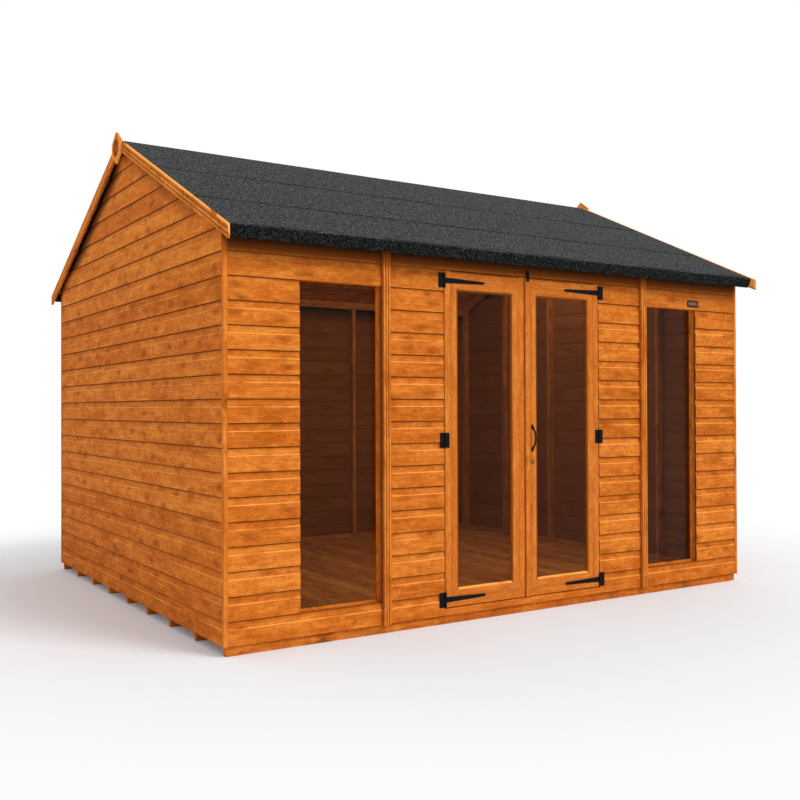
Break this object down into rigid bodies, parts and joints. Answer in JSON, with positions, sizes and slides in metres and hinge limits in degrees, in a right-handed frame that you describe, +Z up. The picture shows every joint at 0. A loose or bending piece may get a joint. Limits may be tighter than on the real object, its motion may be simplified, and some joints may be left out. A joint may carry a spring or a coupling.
{
  "type": "timber summerhouse",
  "caption": "Timber summerhouse with an apex roof of mineral felt, boarded walls, and double glazed doors that open outwards between tall fixed windows.",
  "frame": {"origin": "on the ground, under the middle of the building's box", "axes": "+X along the front to the right, seen from the front; the doors face -Y; +Z up"},
  "size_m": [3.76, 3.308, 2.809],
  "materials": {
    "stained_softwood": "spirit stained, matt",
    "frame_timber": "sawn and planed, unstained",
    "floor_timber": "planed, unstained",
    "roof_timber": "planed, unstained",
    "treated_timber": "sawn, pressure treated",
    "clear_glass": "clear, gloss",
    "black_steel": "black powder coat",
    "lock_brass": "dulled",
    "mineral_felt": "bitumen felt with mineral grains"
  },
  "bodies": {
    "building": {"back_bargeboards": "stained_softwood", "back_boards": "stained_softwood", "back_studs": "frame_timber", "corner_trims": "stained_softwood", "cover_strips": "stained_softwood", "door_sill": "stained_softwood", "door_stops": "stained_softwood", "eaves_battens": "roof_timber", "felt_back": "mineral_felt", "felt_drips": "mineral_felt", "felt_front": "mineral_felt", "finials": "stained_softwood", "floor_bearers": "treated_timber", "floor_deck": "floor_timber", "front_bargeboards": "stained_softwood", "front_boards_over_doors": "stained_softwood", "front_boards_piers": "stained_softwood", "front_boards_windows": "stained_softwood", "front_studs": "frame_timber", "gable_rafters": "frame_timber", "gable_studs": "frame_timber", "hinge_plates": "black_steel", "left_gable_boards": "stained_softwood", "opening_rails": "frame_timber", "right_gable_boards": "stained_softwood", "roof_boards_back": "roof_timber", "roof_boards_front": "roof_timber", "roof_purlins": "roof_timber", "sole_plates_front_back": "frame_timber", "sole_plates_gables": "frame_timber", "top_plates_front_back": "frame_timber", "window_beads": "stained_softwood", "window_glass": "clear_glass"},
    "left_leaf": {"leaf_left_bead": "stained_softwood", "leaf_left_glass": "clear_glass", "leaf_left_hinges": "black_steel", "leaf_left_rails": "stained_softwood", "leaf_left_stiles": "stained_softwood"},
    "right_leaf": {"leaf_right_bead": "stained_softwood", "leaf_right_glass": "clear_glass", "leaf_right_hinges": "black_steel", "leaf_right_rails": "stained_softwood", "leaf_right_stiles": "stained_softwood", "meeting_strip": "stained_softwood", "head_bar": "black_steel", "door_lock": "lock_brass", "door_handle": "black_steel"}
  },
  "joints": [
    {"name": "left_door", "type": "hinge", "parent": "building", "child": "left_leaf", "pos_m": [-0.566, -1.523, 0.986], "axis": [0, 0, -1], "range_deg": [0, 165]},
    {"name": "right_door", "type": "hinge", "parent": "building", "child": "right_leaf", "pos_m": [0.566, -1.523, 0.986], "axis": [0, 0, 1], "range_deg": [0, 165]}
  ]
}
